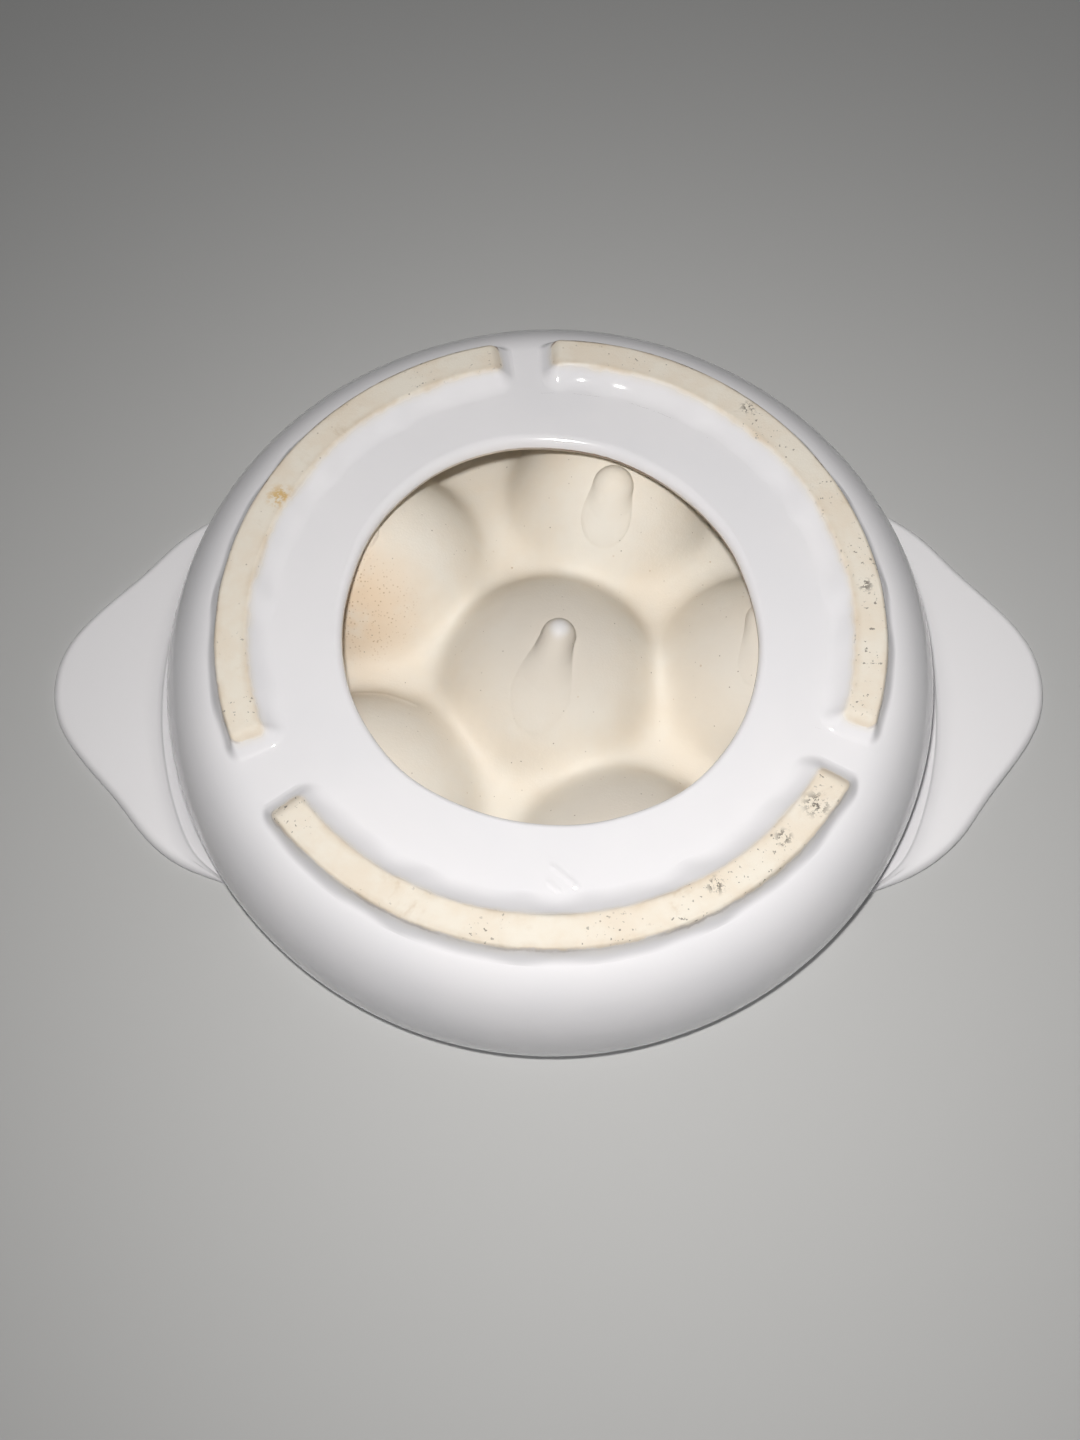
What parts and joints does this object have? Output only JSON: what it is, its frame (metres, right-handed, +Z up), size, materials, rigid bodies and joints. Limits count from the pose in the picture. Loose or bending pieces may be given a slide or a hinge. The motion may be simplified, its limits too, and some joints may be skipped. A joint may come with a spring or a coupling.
{
  "type": "egg holder tray",
  "caption": "Low round ceramic tray with hemispherical egg wells in a flat top, a bulging hollow body open underneath, an interrupted foot ring and two flat lug handles.",
  "frame": {"origin": "centre of the bounding box at the foot's standing plane, on the tray's axis", "axes": "+Z up with the wells opening upwards, +X along the two handles, +Y to the back"},
  "size_m": [0.257, 0.19, 0.044],
  "materials": {
    "glaze": "glossy cool white glaze",
    "bisque": "matt unglazed cream clay with fine specks"
  },
  "bodies": {
    "root": {"bowl_wall": "glaze", "base_ring": "glaze", "foot_arc_1": "bisque", "foot_arc_2": "bisque", "foot_arc_3": "bisque", "rim_front": "glaze", "rim_back": "glaze", "handle_left": "glaze", "handle_right": "glaze", "well_deck": "glaze", "egg_well_center": "glaze", "egg_well_1": "glaze", "egg_well_2": "glaze", "egg_well_3": "glaze", "egg_well_4": "glaze", "egg_well_5": "glaze", "slip_drip_center": "bisque", "slip_drip_1": "bisque", "slip_drip_2": "bisque", "slip_drip_3": "bisque", "slip_drip_4": "bisque", "slip_drip_5": "bisque"}
  },
  "joints": []
}
